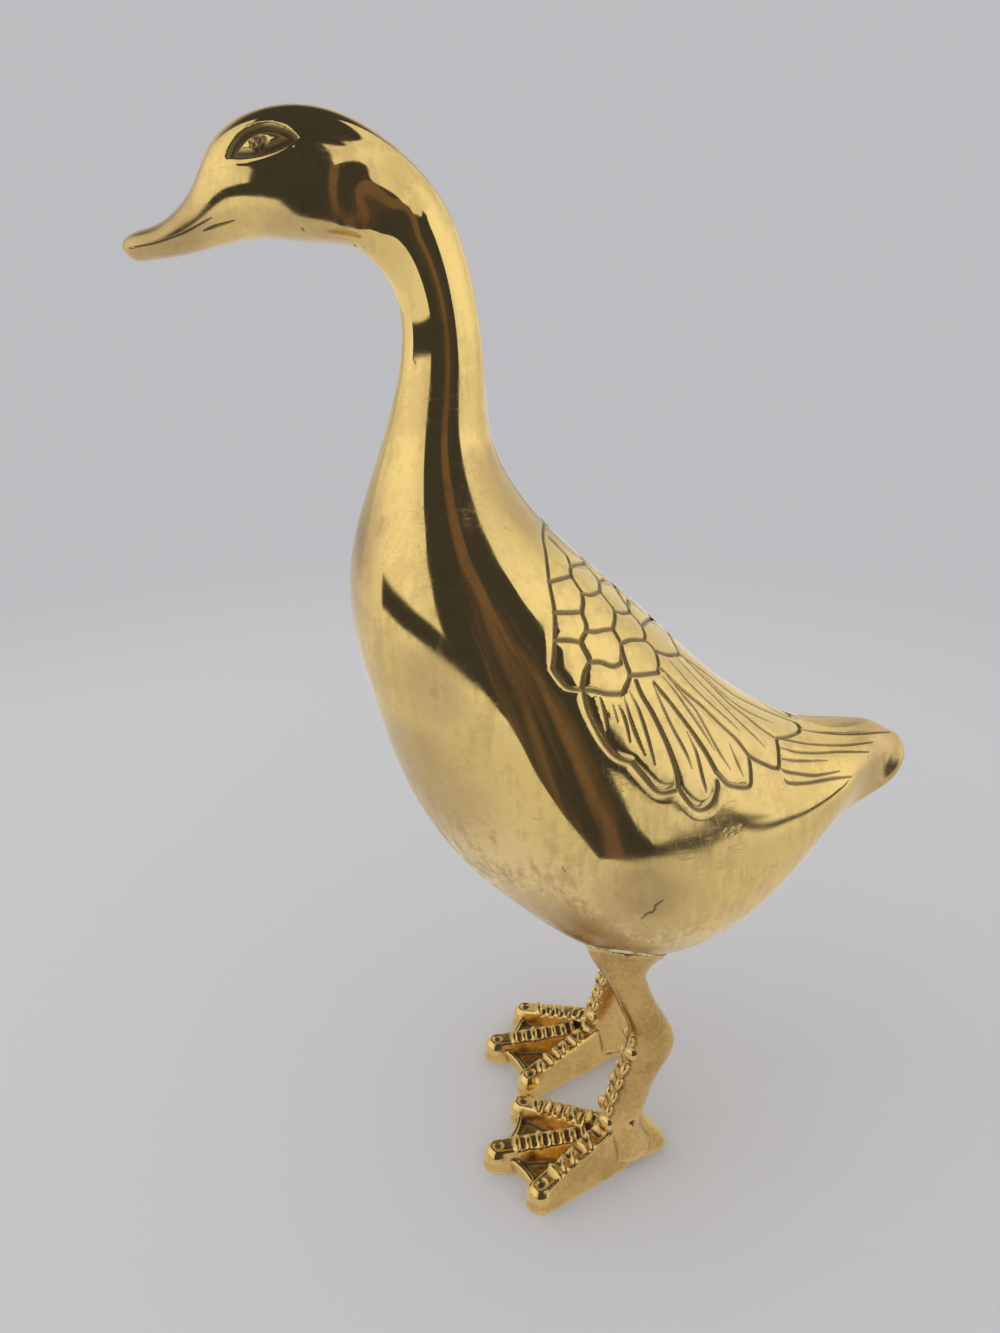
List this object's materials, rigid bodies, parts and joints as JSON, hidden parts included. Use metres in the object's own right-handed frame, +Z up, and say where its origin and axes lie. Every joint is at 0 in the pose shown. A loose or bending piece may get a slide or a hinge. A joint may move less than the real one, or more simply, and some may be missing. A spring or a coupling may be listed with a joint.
{
  "type": "duck figurine",
  "caption": "Standing duck ornament in polished brass, with a tall curved neck, chased wings and tail, and cast legs with webbed feet that it stands on by itself.",
  "frame": {"origin": "on the surface that the feet stand on, below the middle of the bounding box", "axes": "+Z up, the bill towards -X, the duck's left side towards -Y"},
  "size_m": [0.177, 0.0751, 0.2537],
  "materials": {
    "polished_brass": "mirror polished, lightly tarnished",
    "cast_brass": "satin casting, dark in the recesses",
    "filler": "pale brazing filler, dressed by hand"
  },
  "bodies": {
    "root": {"left_body_shell": "polished_brass", "right_body_shell": "polished_brass", "seam_braze": "filler", "left_leg": "cast_brass", "right_leg": "cast_brass", "left_leg_braze": "filler", "right_leg_braze": "filler"}
  },
  "joints": []
}
